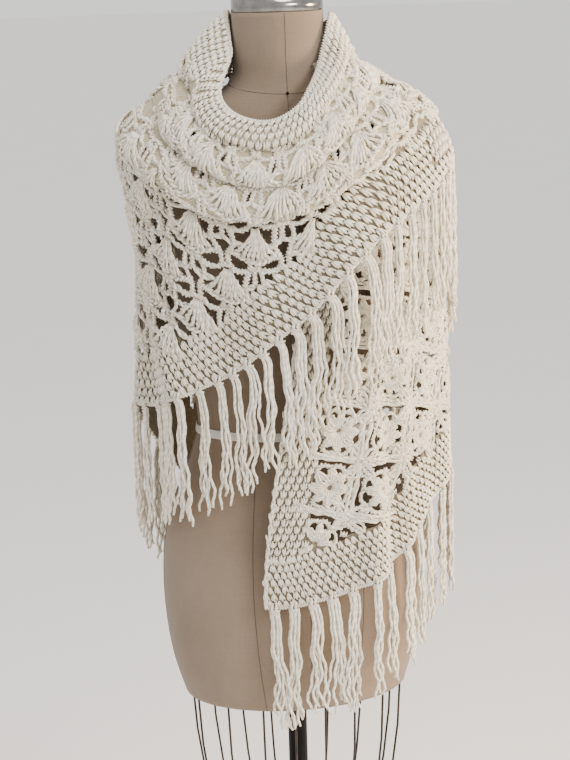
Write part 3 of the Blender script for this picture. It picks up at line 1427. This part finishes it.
def neck_cap(chrome):
    """A polished cap on the neck: an upright band, then a dome that is a quarter of an
    ellipse in profile."""
    azimuth = np.linspace(0, 360, 97)[:-1]
    rim = form_radius(azimuth, NECK_TOP + 0 * azimuth)
    foot = NECK_TOP + SEAM
    turns = np.radians(np.concatenate([np.linspace(0, 84, 16), [89]]))[:, None]
    dome = on_azimuth(azimuth, rim * np.cos(turns), foot + CAP_BAND + CAP_DOME * np.sin(turns))
    heights = np.array([[0], [0.0006], [CAP_BAND]])
    band = on_azimuth(azimuth, rim * np.array([[0.98], [1.0], [1.0]]), foot + heights)
    points = np.concatenate([band, dome])
    made = mesh_object("form_neck_cap", points.reshape(-1, 3), closed_rings(points), chrome)
    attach(made, "root")
    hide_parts("neck_cap")


def stage():
    """A pale floor, soft lights and the camera, at the photo's angle."""
    corners = np.array([(-1, -1, 0), (1, -1, 0), (1, 1, 0), (-1, 1, 0)], float) * FLOOR_REACH
    floor = mesh_object("floor", corners, [np.array([(0, 1, 2, 3)])], floor_finish())
    world = bpy.data.worlds.new("studio")
    world.use_nodes = True
    sky = world.node_tree.nodes["Background"]
    sky.inputs["Color"].default_value = (1.0, 0.99, 0.97, 1)
    sky.inputs["Strength"].default_value = SKY_STRENGTH
    bpy.context.scene.world = world
    for name, place, size, power, colour in LIGHTS:
        light = bpy.data.lights.new(name, "AREA")
        light.shape = "DISK"
        light.size, light.energy, light.color = size, power, colour
        lamp = bpy.data.objects.new(name, light)
        lamp.location = place
        aim = Vector((0, 0, LIGHT_AIM)) - lamp.location
        lamp.rotation_euler = aim.to_track_quat("-Z", "Y").to_euler()
        bpy.context.scene.collection.objects.link(lamp)

    camera_data = bpy.data.cameras.new("camera")
    camera = bpy.data.objects.new("camera", camera_data)
    camera_data.sensor_fit = "VERTICAL"
    camera_data.lens = camera_data.sensor_height * FOCAL_PIXELS / PHOTO_HEIGHT
    turn = math.radians(CAMERA_AZIMUTH)
    side = Vector((math.cos(turn), math.sin(turn), 0))
    back = Vector((math.sin(turn), -math.cos(turn), 0))
    place = back * CAMERA_DISTANCE + side * CAMERA_SHIFT + Vector((0, 0, CAMERA_HEIGHT))
    look = Matrix.Rotation(turn, 4, "Z") @ Matrix.Rotation(math.radians(90 - CAMERA_PITCH), 4, "X")
    roll = Matrix.Rotation(math.radians(-CAMERA_ROLL), 4, "Z")
    camera.matrix_world = Matrix.Translation(place) @ look @ roll
    camera_data.clip_start, camera_data.clip_end = 0.05, 3 * FLOOR_REACH
    bpy.context.scene.collection.objects.link(camera)
    bpy.context.scene.camera = camera


def floor_finish():
    """Pale matt floor with a faint grain."""
    finish = Finish("pale_floor", 0.8)
    grain = finish.noise(finish.position(), 3, 4.0)
    finish.colour(finish.mix(grain, (0.90, 0.89, 0.88), (0.94, 0.93, 0.92)))
    return finish.made


def main():
    """Dresses the frame: the shawl, the form, the looks of the stand, and the stage."""
    ground = ground_finish("ivory_wool_ground", (0.14, 0.105, 0.065), (0.27, 0.22, 0.15))
    backing = ground_finish("ivory_wool_backing", (0.32, 0.26, 0.16), (0.58, 0.50, 0.36))
    for name, (cloth, pieces) in shawl(yarn_finish(), ground, backing).items():
        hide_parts("shawl_" + name)
        for piece in pieces:
            if piece.name.endswith("fringe"):
                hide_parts("fringe_" + name)
    dress_form(linen_finish(), thread_finish())
    waist_tape(tape_finish())
    neck_cap(metal_finish("polished_chrome", (0.20, 0.19, 0.185), (0.30, 0.29, 0.28), 1.0, 0.17))
    black = metal_finish("black_enamel", (0.003, 0.003, 0.0035), (0.008, 0.0075, 0.007), 0.0, 0.45)
    black.node_tree.nodes["Principled BSDF"].inputs["Specular IOR Level"].default_value = 0.1
    pins(black)
    wire = metal_finish("dark_wire", (0.02, 0.016, 0.013), (0.06, 0.048, 0.038), 0.6, 0.5)
    for name, node in NODES.items():
        in_cage = name.startswith("cage")
        if in_cage or name in ("pole", "base_plate"):
            node.data.materials.clear()
            node.data.materials.append(wire if in_cage else black)
    stage()


NODES = {o.name: o for o in bpy.data.objects if "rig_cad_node" in o}
main()
